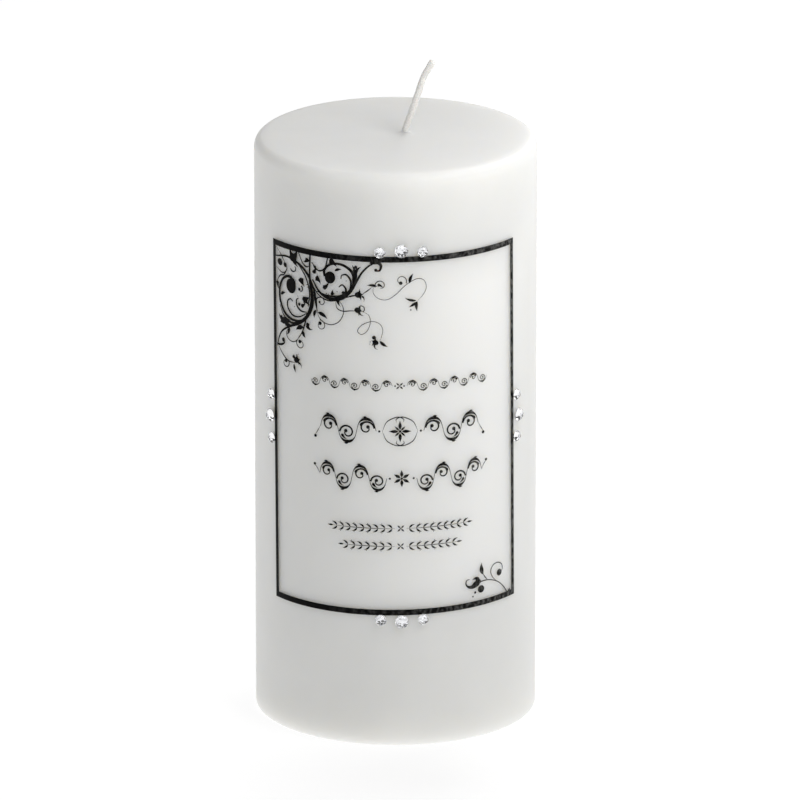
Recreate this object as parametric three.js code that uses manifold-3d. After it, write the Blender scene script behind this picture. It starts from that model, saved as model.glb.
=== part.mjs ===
// Unity candle: a white wax pillar with a clear printed label wrapped round its
// front, a black border on the label, and twelve foil-backed glass stones glued
// beside the border in four groups of three.
//
// Millimetres, +Z up. The origin is the centre of the base, on the pillar's axis.
// The label faces -Y, and +X is to the right of someone who reads it.

import * as THREE from "three";
import Module from "manifold-3d";
import { ConvexGeometry } from "three/addons/geometries/ConvexGeometry.js";
import { mergeVertices } from "three/addons/utils/BufferGeometryUtils.js";

const wasm = await Module();
wasm.setup();

// Pillar: a nominal 3 x 6 inch candle with a rounded shoulder.
const PILLAR_RADIUS = 37;
const PILLAR_HEIGHT = 156.2;
const SHOULDER_RADIUS = 3.2;
const BASE_EDGE_RADIUS = 0.8;
const PILLAR_SIDES = 96;
const ARC_STEPS = 5;

// Wick and the pressed metal clip that holds its lower end. Both stand on one
// upright line that lies a little off the pillar's axis.
const WICK_X = 2.45;
const WICK_Y = 1.5;
const WICK_RADIUS = 0.9;
const WICK_SIDES = 8;
const WICK_STEPS = 80;
const WICK_START_Z = 1.2;
const WICK_GAP = 0.3;
const WICK_BEND_DEPTH = 8;
// Free end above the wax: how far it has leaned over at each height.
const WICK_LEAN = [
  { lean: 0.65, rise: 2.4 },
  { lean: 1.7, rise: 5.4 },
  { lean: 3.8, rise: 12.0 },
  { lean: 5.0, rise: 15.4 },
  { lean: 7.3, rise: 19.5 },
];
const CLIP_RADIUS = 7.5;
const CLIP_THICKNESS = 0.3;
const CLIP_LIFT = 0.3;
const CLIP_NECK_OUTER = 1.6;
const CLIP_NECK_INNER = 1.2;
const CLIP_NECK_TOP = 6.0;
const CLIP_SIDES = 32;
const CLIP_GAP = 0.3;

// Label: measured on the flat sheet, before it is wrapped round the wax.
const LABEL_WIDTH = 73.3;
const LABEL_HEIGHT = 98;
const LABEL_CENTRE_Z = 85.3;
const LABEL_TILT = THREE.MathUtils.degToRad(0.6);
const FILM_THICKNESS = 0.1;
const FILM_LIFT = 0.05;
const BORDER_WIDTH = 1.55;
const BORDER_SIDE_WIDTH = 1.2;
const BORDER_THICKNESS = 0.05;
const BORDER_LIFT = 0.2;
const LABEL_COLUMNS = 64;
const LABEL_ROWS = 1;

// Flat-back stones: two sizes, named as jewellers name them.
const SS10 = { girdleRadius: 1.42, height: 1.05 };
const SS14 = { girdleRadius: 1.75, height: 1.25 };
const STONE_FACETS = 8;
const TABLE_RATIO = 0.52;
const KITE_RATIO = 0.83;
const KITE_HEIGHT_RATIO = 0.72;
const GIRDLE_LOW_RATIO = 0.3;
const GIRDLE_HIGH_RATIO = 0.36;
const BACK_RATIO = 0.76;
const FOIL_THICKNESS = 0.04;
const FOIL_GAP = 0.02;
const GLUE_LIFT = 0.04;
const GLUE_THICKNESS = 0.2;
const GLUE_RATIO = 0.45;
const GLUE_FOOT_RATIO = 1.12;
const GLUE_SIDES = 12;
const STONE_LIFT = 0.36;
const STONE_SPIN_STEP = 0.9;
const STONE_LEAN = THREE.MathUtils.degToRad(2.5);

// Each group of three lies along one edge of the border. "shift" moves the group
// along that edge from its middle; "clear" and "middleClear" are how far the small
// stones and the large middle stone stand outside the edge.
const STONE_GROUPS = [
  { edge: "top", shift: 2.72, pitch: 5.55, clear: 1.2, middleClear: 1.65 },
  { edge: "right", shift: 0.15, pitch: 5.7, clear: 0.95, middleClear: 1.85 },
  { edge: "bottom", shift: 1.85, pitch: 5.47, clear: 1.2, middleClear: 1.6 },
  { edge: "left", shift: 0.5, pitch: 6.0, clear: 0.8, middleClear: 1.3 },
];
const STONE_NAMES = ["first", "middle", "last"];

const MERGE_DISTANCE = 1e-4;
const CUT_MARGIN = 0.05;

const material = (color, roughness, metalness) =>
  new THREE.MeshStandardMaterial({ color, roughness, metalness });

const clearMaterial = (color, roughness, opacity) =>
  new THREE.MeshStandardMaterial({ color, roughness, metalness: 0, opacity, transparent: true });

const MATERIALS = {
  wax: () => material(0xefeeea, 0.55, 0),
  wick: () => material(0xf2efe4, 0.85, 0),
  clip: () => material(0xb9bcc0, 0.35, 1),
  film: () => clearMaterial(0xf4f4f2, 0.15, 0.25),
  ink: () => material(0x151515, 0.4, 0),
  crystal: () => clearMaterial(0xffffff, 0.02, 0.4),
  foil: () => material(0xe4e6ea, 0.08, 1),
  glue: () => clearMaterial(0xf0eee6, 0.3, 0.7),
};

function namedMesh(name, geometry, kind) {
  const mesh = new THREE.Mesh(geometry, MATERIALS[kind]());
  mesh.name = name;
  return mesh;
}

// ---------------------------------------------------------------- solids

function toSolid(geometry) {
  const plain = geometry.clone();
  plain.deleteAttribute("normal");
  plain.deleteAttribute("uv");
  const merged = mergeVertices(plain, MERGE_DISTANCE);
  const corners = merged.index.array;
  const kept = [];
  for (let i = 0; i < corners.length; i += 3) {
    const [a, b, c] = corners.slice(i, i + 3);
    if (a !== b && b !== c && c !== a) kept.push(a, b, c);
  }
  return new wasm.Manifold(new wasm.Mesh({
    numProp: 3,
    vertProperties: new Float32Array(merged.attributes.position.array),
    triVerts: new Uint32Array(kept),
  }));
}

function toGeometry(solid) {
  const { vertProperties, triVerts } = solid.getMesh();
  const geometry = new THREE.BufferGeometry();
  geometry.setAttribute("position", new THREE.BufferAttribute(vertProperties, 3));
  geometry.setIndex(new THREE.BufferAttribute(triVerts, 1));
  geometry.computeVertexNormals();
  return geometry;
}

const cut = (body, tool) => toGeometry(toSolid(body).subtract(toSolid(tool)));

// A turned shape about +Z, from [radius, height] pairs that run upwards.
function turned(profile, sides) {
  const points = profile.map(([radius, height]) => new THREE.Vector2(radius, height));
  return new THREE.LatheGeometry(points, sides).rotateX(Math.PI / 2);
}

// Points of a quarter round in a turned profile, between two angles from +radius.
function roundedCorner(centreRadius, centreHeight, radius, fromAngle, toAngle) {
  return Array.from({ length: ARC_STEPS + 1 }, (_, step) => {
    const angle = THREE.MathUtils.lerp(fromAngle, toAngle, step / ARC_STEPS);
    return [centreRadius + radius * Math.cos(angle), centreHeight + radius * Math.sin(angle)];
  });
}

// ---------------------------------------------------------------- pillar

function waxPillar() {
  const foot = PILLAR_RADIUS - BASE_EDGE_RADIUS;
  const crown = PILLAR_RADIUS - SHOULDER_RADIUS;
  const blank = turned([
    [0, 0],
    ...roundedCorner(foot, BASE_EDGE_RADIUS, BASE_EDGE_RADIUS, -Math.PI / 2, 0),
    ...roundedCorner(crown, PILLAR_HEIGHT - SHOULDER_RADIUS, SHOULDER_RADIUS, 0, Math.PI / 2),
    [0, PILLAR_HEIGHT],
  ], PILLAR_SIDES);

  // One stepped bore: a shallow seat for the clip, a pocket for its neck, and
  // the hole that the wick runs up.
  const overrun = 1;
  const seat = CLIP_RADIUS + CLIP_GAP;
  const pocket = CLIP_NECK_OUTER + CLIP_GAP;
  const hole = WICK_RADIUS + WICK_GAP;
  const seatTop = CLIP_LIFT + CLIP_THICKNESS + CLIP_GAP;
  const pocketTop = CLIP_NECK_TOP + CLIP_GAP;
  const bore = turned([
    [0, -overrun],
    [seat, -overrun],
    [seat, seatTop],
    [pocket, seatTop],
    [pocket, pocketTop],
    [hole, pocketTop],
    [hole, PILLAR_HEIGHT + overrun],
    [0, PILLAR_HEIGHT + overrun],
  ], CLIP_SIDES).translate(WICK_X, WICK_Y, 0);
  return namedMesh("wax_pillar", cut(blank, bore), "wax");
}

// ---------------------------------------------------------------- wick and clip

function wick() {
  const bendStart = PILLAR_HEIGHT - WICK_BEND_DEPTH;
  const inWax = [WICK_START_Z, PILLAR_HEIGHT / 2, bendStart, PILLAR_HEIGHT];
  const points = inWax.map((z) => new THREE.Vector3(WICK_X, WICK_Y, z));
  for (const { lean, rise } of WICK_LEAN) {
    points.push(new THREE.Vector3(WICK_X + lean, WICK_Y, PILLAR_HEIGHT + rise));
  }
  const section = new THREE.Shape();
  section.absarc(0, 0, WICK_RADIUS, 0, 2 * Math.PI);
  const geometry = new THREE.ExtrudeGeometry(section, {
    curveSegments: WICK_SIDES / 2,
    steps: WICK_STEPS,
    extrudePath: new THREE.CatmullRomCurve3(points, false, "centripetal"),
  });
  return namedMesh("wick", geometry, "wick");
}

function wickClip() {
  const plateTop = CLIP_LIFT + CLIP_THICKNESS;
  const geometry = turned([
    [CLIP_NECK_INNER, CLIP_LIFT],
    [CLIP_RADIUS, CLIP_LIFT],
    [CLIP_RADIUS, plateTop],
    [CLIP_NECK_OUTER, plateTop],
    [CLIP_NECK_OUTER, CLIP_NECK_TOP],
    [CLIP_NECK_INNER, CLIP_NECK_TOP],
    [CLIP_NECK_INNER, CLIP_LIFT],
  ], CLIP_SIDES);
  const clip = namedMesh("wick_clip", geometry, "clip");
  clip.position.set(WICK_X, WICK_Y, 0);
  return clip;
}

// ---------------------------------------------------------------- label

// Where a point of the flat label lies on the pillar: u runs to the right and v
// up from the label's centre. The label is stuck on slightly askew.
function onPillar(u, v) {
  const along = u * Math.cos(LABEL_TILT) - v * Math.sin(LABEL_TILT);
  const up = u * Math.sin(LABEL_TILT) + v * Math.cos(LABEL_TILT);
  return { azimuth: along / PILLAR_RADIUS, z: LABEL_CENTRE_Z + up };
}

// A thin flat sheet wrapped round the pillar, with its back at the given lift.
function wrappedSheet(width, height, thickness, lift) {
  const sheet = new THREE.BoxGeometry(width, thickness, height, LABEL_COLUMNS, 1, LABEL_ROWS);
  const places = sheet.attributes.position;
  for (let i = 0; i < places.count; i += 1) {
    const { azimuth, z } = onPillar(places.getX(i), places.getZ(i));
    const radius = PILLAR_RADIUS + lift + thickness / 2 - places.getY(i);
    places.setXYZ(i, radius * Math.sin(azimuth), -radius * Math.cos(azimuth), z);
  }
  return sheet;
}

function labelFilm() {
  const sheet = wrappedSheet(LABEL_WIDTH, LABEL_HEIGHT, FILM_THICKNESS, FILM_LIFT);
  return namedMesh("label_film", sheet, "film");
}

function labelBorder() {
  const outer = wrappedSheet(LABEL_WIDTH, LABEL_HEIGHT, BORDER_THICKNESS, BORDER_LIFT);
  const inner = wrappedSheet(
    LABEL_WIDTH - 2 * BORDER_SIDE_WIDTH,
    LABEL_HEIGHT - 2 * BORDER_WIDTH,
    BORDER_THICKNESS + 2 * CUT_MARGIN,
    BORDER_LIFT - CUT_MARGIN,
  );
  return namedMesh("label_border", cut(outer, inner), "ink");
}

// ---------------------------------------------------------------- stones

// The corners of one ring of a stone, in its own frame with +Z out of the wax.
function stoneRing(count, radius, height, turn) {
  return Array.from({ length: count }, (_, i) => {
    const angle = ((i + turn) * 2 * Math.PI) / count;
    return new THREE.Vector3(radius * Math.cos(angle), radius * Math.sin(angle), height);
  });
}

// A brilliant-cut crown on a short tapered back: an eight-sided table, kite and
// star facets round it, and a sixteen-sided girdle.
function stoneGeometry({ girdleRadius, height }) {
  const girdle = 2 * STONE_FACETS;
  return new ConvexGeometry([
    ...stoneRing(girdle, girdleRadius * BACK_RATIO, 0, 0),
    ...stoneRing(girdle, girdleRadius, height * GIRDLE_LOW_RATIO, 0),
    ...stoneRing(girdle, girdleRadius, height * GIRDLE_HIGH_RATIO, 0),
    ...stoneRing(STONE_FACETS, girdleRadius * KITE_RATIO, height * KITE_HEIGHT_RATIO, 0),
    ...stoneRing(STONE_FACETS, girdleRadius * TABLE_RATIO, height, 0.5),
  ]);
}

// The mirror foil: an open cup round the stone's back, as high as its girdle.
function foilGeometry({ girdleRadius, height }) {
  const back = girdleRadius * BACK_RATIO + FOIL_GAP;
  const rim = girdleRadius + FOIL_GAP;
  const rimHeight = height * GIRDLE_LOW_RATIO;
  return turned([
    [0, -FOIL_GAP - FOIL_THICKNESS],
    [back + FOIL_THICKNESS, -FOIL_GAP - FOIL_THICKNESS],
    [rim + FOIL_THICKNESS, rimHeight],
    [rim, rimHeight],
    [back, -FOIL_GAP],
    [0, -FOIL_GAP],
  ], 2 * STONE_FACETS);
}

// The dot of clear glue between the foil and the wax, pressed wider at its foot.
function glueGeometry({ girdleRadius }) {
  const waist = girdleRadius * GLUE_RATIO;
  const foot = waist * GLUE_FOOT_RATIO;
  return turned([
    [0, 0],
    [foot, 0],
    [foot, GLUE_THICKNESS * 0.3],
    [waist, GLUE_THICKNESS],
    [0, GLUE_THICKNESS],
  ], GLUE_SIDES);
}

// Where the middle of a stone lies on the flat label.
function stonePlace({ edge, shift, pitch, clear, middleClear }, index) {
  const along = shift + (index - 1) * pitch;
  const outside = index === 1 ? middleClear : clear;
  switch (edge) {
    case "top": return { u: along, v: LABEL_HEIGHT / 2 + outside };
    case "bottom": return { u: along, v: -LABEL_HEIGHT / 2 - outside };
    case "right": return { u: LABEL_WIDTH / 2 + outside, v: -along + 2 * shift };
    default: return { u: -LABEL_WIDTH / 2 - outside, v: -along + 2 * shift };
  }
}

function gluedStone(group, index, order) {
  const cutSize = index === 1 ? SS14 : SS10;
  const tag = `${group.edge}_${STONE_NAMES[index]}`;
  const { u, v } = stonePlace(group, index);
  const { azimuth, z } = onPillar(u, v);

  // The seat's +Z points straight out of the wax, its +Y up the pillar.
  const seat = new THREE.Group();
  seat.position.set(PILLAR_RADIUS * Math.sin(azimuth), -PILLAR_RADIUS * Math.cos(azimuth), z);
  seat.rotation.set(Math.PI / 2, 0, azimuth, "ZYX");

  const glue = namedMesh(`glue_dot_${tag}`, glueGeometry(cutSize), "glue");
  glue.position.z = GLUE_LIFT;

  const stone = new THREE.Group();
  stone.position.z = STONE_LIFT;
  stone.rotation.set(
    STONE_LEAN * Math.sin(2 * order),
    STONE_LEAN * Math.cos(3 * order),
    STONE_SPIN_STEP * order,
  );
  stone.add(namedMesh(`foil_${tag}`, foilGeometry(cutSize), "foil"));
  stone.add(namedMesh(`crystal_${tag}`, stoneGeometry(cutSize), "crystal"));
  seat.add(glue, stone);
  return seat;
}

function stones() {
  const all = new THREE.Group();
  STONE_GROUPS.forEach((group, side) => {
    STONE_NAMES.forEach((_, index) => {
      all.add(gluedStone(group, index, side * STONE_NAMES.length + index));
    });
  });
  return all;
}

const candle = new THREE.Group();
candle.name = "unity_candle";
candle.add(waxPillar(), wick(), wickClip(), labelFilm(), labelBorder(), stones());

export default candle;
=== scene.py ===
"""Looks of the unity candle: wax, wick, clear label with printed scrollwork, and stones.

Everything is in metres in the CAD frame: +Z up, the label faces -Y. Drawings on the
label are in millimetres on the flat sheet: u to the right and v up from its centre.
"""

import math

import bmesh
import bpy
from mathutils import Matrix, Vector, noise


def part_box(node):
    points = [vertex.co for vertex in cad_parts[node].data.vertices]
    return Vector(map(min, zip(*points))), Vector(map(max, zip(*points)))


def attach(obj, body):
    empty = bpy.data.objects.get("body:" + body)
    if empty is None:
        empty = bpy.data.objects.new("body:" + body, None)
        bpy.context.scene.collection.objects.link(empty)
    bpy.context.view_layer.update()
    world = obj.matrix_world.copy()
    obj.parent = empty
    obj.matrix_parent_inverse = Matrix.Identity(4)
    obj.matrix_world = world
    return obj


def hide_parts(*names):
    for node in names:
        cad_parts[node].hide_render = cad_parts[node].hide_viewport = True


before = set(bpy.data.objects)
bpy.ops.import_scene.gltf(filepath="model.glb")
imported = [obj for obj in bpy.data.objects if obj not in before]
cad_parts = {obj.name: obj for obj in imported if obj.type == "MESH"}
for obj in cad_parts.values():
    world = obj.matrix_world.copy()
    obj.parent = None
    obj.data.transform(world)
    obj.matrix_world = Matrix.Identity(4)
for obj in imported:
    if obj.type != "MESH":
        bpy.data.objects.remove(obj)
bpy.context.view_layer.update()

MM = 0.001
BODY = "root"

# The pillar, read from the frame.
PILLAR_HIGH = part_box("wax_pillar")[1]
RADIUS = PILLAR_HIGH.x
HEIGHT = PILLAR_HIGH.z
SHOULDER = 3.2 * MM
BASE_EDGE = 0.8 * MM

# The finer pillar mesh: its sides, its rings, and the collar of wax round the wick.
PILLAR_SIDES = 288
FOOT_RINGS, EDGE_RINGS, SIDE_RINGS, SHOULDER_RINGS, TOP_RINGS, COLLAR_RINGS = 9, 6, 72, 12, 40, 10
COLLAR_RADIUS, COLLAR_HEIGHT = 3.4 * MM, 0.85 * MM
SOAKED_DEPTH = 12 * MM

# Where the wax is painted paler, in metres along the CAD's axes as (from, to): beneath the
# film on the lit side, a painted sheen that stands in for the film's gloss, and towards the
# right of the top, a painted highlight that grows up to a share of the full paleness.
SHEEN_PAINT_WAX = (0.868, 0.868, 0.856, 1)
SHEEN_PAINT_ACROSS, SHEEN_PAINT_FRONT = (-0.022, 0.022), (-0.012, -0.024)
SHEEN_PAINT_FOOT, SHEEN_PAINT_HEAD = (0.032, 0.046), (0.138, 0.124)
PAINTED_TOP_LIGHT_HEIGHT, PAINTED_TOP_LIGHT_ACROSS = (0.1545, 0.1556), (0.0, 0.034, 0.0, 0.6)

# The wick's line and the clip, as the CAD has them.
CLIP_LOW, CLIP_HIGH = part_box("wick_clip")
WICK_X = (CLIP_LOW.x + CLIP_HIGH.x) / 2
WICK_Y = (CLIP_LOW.y + CLIP_HIGH.y) / 2
WICK_LOW, WICK_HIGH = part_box("wick")
WICK_RADIUS = (WICK_HIGH.y - WICK_LOW.y) / 2
WICK_LEAN = [(0.65, 2.4), (1.7, 5.4), (3.8, 12.0), (5.0, 15.4), (7.3, 19.5)]
CLIP_GAP = 0.3 * MM
CLIP_NECK, CLIP_NECK_TOP = 1.6 * MM, 6.0 * MM
CLIP_SEAT_HEIGHT = 0.6 * MM
WICK_SIDES, WICK_STEPS = 28, 40
WICK_STRANDS, WICK_PITCH = 3, 3.4 * MM

# The label, laid on the pillar as the CAD lays it.
LABEL_WIDTH = 73.3
LABEL_HEIGHT = 98.0
BORDER_WIDTH = 1.55
BORDER_SIDE_WIDTH = 1.2
LABEL_TILT = math.radians(0.6)
BORDER_LOW, BORDER_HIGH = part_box("label_border")
LABEL_CENTRE_Z = (BORDER_LOW.z + BORDER_HIGH.z) / 2
FILM_LIFT, FILM_THICKNESS = 0.05, 0.10
BORDER_LIFT, BORDER_THICKNESS = 0.20, 0.05
PRINT_LIFT, PRINT_THICKNESS = 0.165, 0.02
FILM_COLUMNS, FILM_LINES = 120, 60
BORDER_STEPS, BORDER_LANES = 96, 4

# The print's strokes, in millimetres. Each lies a hair above the last, so that none
# shares a surface with another.
LEAST_HALF_WIDTH = 0.03
WIDEST_LANE = 0.8
STROKE_STEP = 0.0006
STROKE_STEPS_HIGH = 24
CORNER = (-34.8, 46.6)

# The ink's grey streaks are wear, and they are painted denser towards the lit right as a painted
# sheen: x from and to, in metres, and the share of grey at each.
INK_WEAR_AND_SHEEN = (-0.02, 0.03, 0.03, 1.0)

# The mirror foil behind a stone: the size of its facets and how deep they are.
FOIL_FACET, FOIL_RELIEF = 0.95 * MM, 0.30 * MM

# The camera stands a little to the right of the label's middle line.
CAMERA_AZIMUTH = math.radians(1.1)
CAMERA_DISTANCE = 2.9
CAMERA_HEIGHT = 1.0284
CAMERA_AIM_RIGHT = 0.00117
CAMERA_AIM_HEIGHT = 0.0833
CAMERA_LENS = 522.5
SENSOR_WIDTH = 36.0

# The studio: brightness of the surround, the light and dark cards that sparkle in the stones,
# and the floor's own glow, which is weakest at a spot before the candle and grows away from it, a
# painted shadow at the candle's foot.
ABOVE_HORIZON = (0.3290, 0.3290, 0.3330)
BELOW_HORIZON = (1.055, 1.055, 1.045)
DARK_CARD, LIGHT_CARD = (0.002, 0.002, 0.002), (1.6, 1.6, 1.6)
CARD_SCALE, CARD_EDGE = 2.0, 0.61
CARD_BLUR = 0.02
HORIZON_BLUR = 0.12
FLOOR_SIZE = 8
FLOOR_DROP = 0.0001
FLOOR_COLOUR = (0.35, 0.35, 0.35, 1)
FLOOR_GLOW_NEAR, FLOOR_GLOW_FAR = 0.68, 0.83
FLOOR_SHADOW_PAINT_SPOT, FLOOR_SHADOW_PAINT_REACH = (0.012, -0.062, 0.0), 0.075

# The soft lights: name, azimuth from the front towards the right, elevation, distance,
# side and watts. All have one colour and look at the middle of the candle.
LIGHT_COLOUR = (1.0, 0.995, 0.98)
LIGHTS = [
    ("key_high_right", 46, 60, 0.42, 0.16, 0.5455),
    ("fill_right", 60, 40, 0.70, 0.40, 0.08),
    ("back_right", 150, 40, 0.80, 0.40, 1.58),
]


# ------------------------------------------------------------------ camera and studio

def make_camera():
    data = bpy.data.cameras.new("camera")
    data.lens = CAMERA_LENS
    data.sensor_width = SENSOR_WIDTH
    data.clip_start, data.clip_end = 0.05, 50
    camera = bpy.data.objects.new("camera", data)
    bpy.context.scene.collection.objects.link(camera)
    right = Vector((math.cos(CAMERA_AZIMUTH), math.sin(CAMERA_AZIMUTH), 0))
    back = Vector((math.sin(CAMERA_AZIMUTH), -math.cos(CAMERA_AZIMUTH), 0))
    camera.location = back * CAMERA_DISTANCE + Vector((0, 0, CAMERA_HEIGHT))
    aim = right * CAMERA_AIM_RIGHT + Vector((0, 0, CAMERA_AIM_HEIGHT))
    camera.rotation_euler = (aim - camera.location).to_track_quat("-Z", "Y").to_euler()
    bpy.context.scene.camera = camera


def area_light(name, place, aim, side, power):
    """A square soft light that the camera can't see."""
    data = bpy.data.lights.new(name, "AREA")
    data.shape = "RECTANGLE"
    data.size, data.size_y = side, side
    data.energy = power
    data.color = LIGHT_COLOUR
    light = bpy.data.objects.new(name, data)
    light.location = place
    light.rotation_euler = (aim - place).to_track_quat("-Z", "Y").to_euler()
    light.visible_camera = False
    bpy.context.scene.collection.objects.link(light)


def make_world():
    """A plain surround: one brightness above the horizon and another below it. Light that
    has passed through glass sees it as light and dark cards, so that the stones sparkle."""
    world = bpy.data.worlds.new("studio")
    world.use_nodes = True
    bpy.context.scene.world = world
    nodes, links = world.node_tree.nodes, world.node_tree.links

    def mix(factor, a, b):
        node = nodes.new("ShaderNodeMix")
        node.data_type = "RGBA"
        links.new(factor, node.inputs["Factor"])
        for socket, value in (("A", a), ("B", b)):
            if isinstance(value, tuple):
                node.inputs[socket].default_value = (*value, 1)
            else:
                links.new(value, node.inputs[socket])
        return node.outputs["Result"]

    direction = nodes.new("ShaderNodeTexCoord").outputs["Generated"]
    split = nodes.new("ShaderNodeSeparateXYZ")
    links.new(direction, split.inputs[0])
    share = nodes.new("ShaderNodeMapRange")
    share.inputs["From Min"].default_value = -HORIZON_BLUR
    share.inputs["From Max"].default_value = HORIZON_BLUR
    links.new(split.outputs["Z"], share.inputs["Value"])
    plain = mix(share.outputs["Result"], BELOW_HORIZON, ABOVE_HORIZON)

    cards = nodes.new("ShaderNodeTexNoise")
    cards.inputs["Scale"].default_value = CARD_SCALE
    cards.inputs["Detail"].default_value = 0.0
    links.new(direction, cards.inputs["Vector"])
    step = nodes.new("ShaderNodeMapRange")
    step.inputs["From Min"].default_value = CARD_EDGE
    step.inputs["From Max"].default_value = CARD_EDGE + CARD_BLUR
    links.new(cards.outputs["Fac"], step.inputs["Value"])
    broken = mix(step.outputs["Result"], DARK_CARD, LIGHT_CARD)

    path = nodes.new("ShaderNodeLightPath")
    links.new(mix(path.outputs["Is Transmission Ray"], plain, broken),
              nodes["Background"].inputs["Color"])


def direction_to(azimuth, elevation):
    """A unit vector from the candle: azimuth is from -Y towards +X."""
    a, e = math.radians(azimuth), math.radians(elevation)
    return Vector((math.sin(a) * math.cos(e), -math.cos(a) * math.cos(e), math.sin(e)))


def make_studio():
    bpy.context.scene.view_settings.view_transform = "Standard"
    make_world()
    aim = Vector((0, 0, HEIGHT / 2))
    for name, azimuth, elevation, distance, side, power in LIGHTS:
        area_light(name, direction_to(azimuth, elevation) * distance, aim, side, power)

    bpy.ops.mesh.primitive_plane_add(size=FLOOR_SIZE, location=(0, 0, -FLOOR_DROP))
    floor = bpy.context.object
    floor.name = "floor"
    # The wax is lit from below by the surround alone, as the floor would block it.
    floor.visible_diffuse = floor.visible_shadow = False
    surface = Surface("floor_white")
    surface.set("Base Color", FLOOR_COLOUR)
    surface.set("Roughness", 0.6)
    surface.set("Specular IOR Level", 0.0)
    surface.set("Emission Color", (1, 1, 1, 1))
    # Painted shadow: the floor glows least at a spot before the candle's foot and more away from it.
    away = surface.nodes.new("ShaderNodeVectorMath")
    away.operation = "DISTANCE"
    away.inputs[1].default_value = FLOOR_SHADOW_PAINT_SPOT
    surface.links.new(surface.coordinates, away.inputs[0])
    glow = surface.between(away.outputs["Value"], 0.0, FLOOR_SHADOW_PAINT_REACH,
                           FLOOR_GLOW_NEAR, FLOOR_GLOW_FAR)
    surface.plug(glow, "Emission Strength")
    surface.material.cycles.emission_sampling = "NONE"
    floor.data.materials.append(surface.material)


# ------------------------------------------------------------------ materials

class Surface:
    """A Principled material whose patterns are built from procedural nodes."""

    def __init__(self, name):
        self.material = bpy.data.materials.new(name)
        self.material.use_nodes = True
        self.nodes = self.material.node_tree.nodes
        self.links = self.material.node_tree.links
        self.shader = self.nodes["Principled BSDF"]
        self.coordinates = self.nodes.new("ShaderNodeTexCoord").outputs["Object"]

    def set(self, socket, value):
        self.shader.inputs[socket].default_value = value

    def plug(self, output, socket):
        self.links.new(output, self.shader.inputs[socket])

    def noise(self, size, detail=2.0, stretch=(1, 1, 1), roughness=0.5):
        """A noise pattern whose features are about size metres across."""
        mapping = self.nodes.new("ShaderNodeMapping")
        mapping.inputs["Scale"].default_value = [s / size for s in stretch]
        self.links.new(self.coordinates, mapping.inputs["Vector"])
        pattern = self.nodes.new("ShaderNodeTexNoise")
        pattern.inputs["Scale"].default_value = 1.0
        pattern.inputs["Detail"].default_value = detail
        pattern.inputs["Roughness"].default_value = roughness
        self.links.new(mapping.outputs["Vector"], pattern.inputs["Vector"])
        return pattern.outputs["Fac"]

    def cells(self, size):
        """Cones of about size metres across, set at random."""
        mapping = self.nodes.new("ShaderNodeMapping")
        mapping.inputs["Scale"].default_value = [1 / size] * 3
        self.links.new(self.coordinates, mapping.inputs["Vector"])
        pattern = self.nodes.new("ShaderNodeTexVoronoi")
        pattern.inputs["Scale"].default_value = 1.0
        self.links.new(mapping.outputs["Vector"], pattern.inputs["Vector"])
        return pattern.outputs["Distance"]

    def ramp(self, factor, stops):
        """A colour or grey ramp. Each stop is (position, colour or grey value)."""
        node = self.nodes.new("ShaderNodeValToRGB")
        self.links.new(factor, node.inputs["Fac"])
        elements = node.color_ramp.elements
        while len(elements) < len(stops):
            elements.new(0.5)
        for element, (position, value) in zip(elements, stops):
            element.position = position
            element.color = (value, value, value, 1) if isinstance(value, float) else (*value, 1)
        return node.outputs["Color"]

    def between(self, value, low, high, to_low=0.0, to_high=1.0):
        """Turns a value running from low to high into one from to_low to to_high."""
        node = self.nodes.new("ShaderNodeMapRange")
        for socket, number in (("From Min", low), ("From Max", high),
                               ("To Min", to_low), ("To Max", to_high)):
            node.inputs[socket].default_value = number
        self.links.new(value, node.inputs["Value"])
        return node.outputs["Result"]

    def axis(self, name):
        """How far along the CAD's X, Y or Z a point lies."""
        node = self.nodes.new("ShaderNodeSeparateXYZ")
        self.links.new(self.coordinates, node.inputs[0])
        return node.outputs[name]

    def combine(self, first, second, operation="MULTIPLY"):
        """The product of two values, or their sum when the operation is ADD."""
        node = self.nodes.new("ShaderNodeMath")
        node.operation = operation
        self.links.new(first, node.inputs[0])
        self.links.new(second, node.inputs[1])
        return node.outputs[0]

    def bump(self, heights, distance, strength=1.0):
        """Adds surface relief, given as [(pattern, weight), ...]."""
        total = None
        for pattern, weight in heights:
            scaled = self.nodes.new("ShaderNodeMath")
            scaled.operation = "MULTIPLY_ADD"
            self.links.new(pattern, scaled.inputs[0])
            scaled.inputs[1].default_value = weight
            if total is not None:
                self.links.new(total, scaled.inputs[2])
            else:
                scaled.inputs[2].default_value = 0.0
            total = scaled.outputs[0]
        node = self.nodes.new("ShaderNodeBump")
        node.inputs["Strength"].default_value = strength
        node.inputs["Distance"].default_value = distance
        self.links.new(total, node.inputs["Height"])
        self.plug(node.outputs["Normal"], "Normal")


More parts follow.
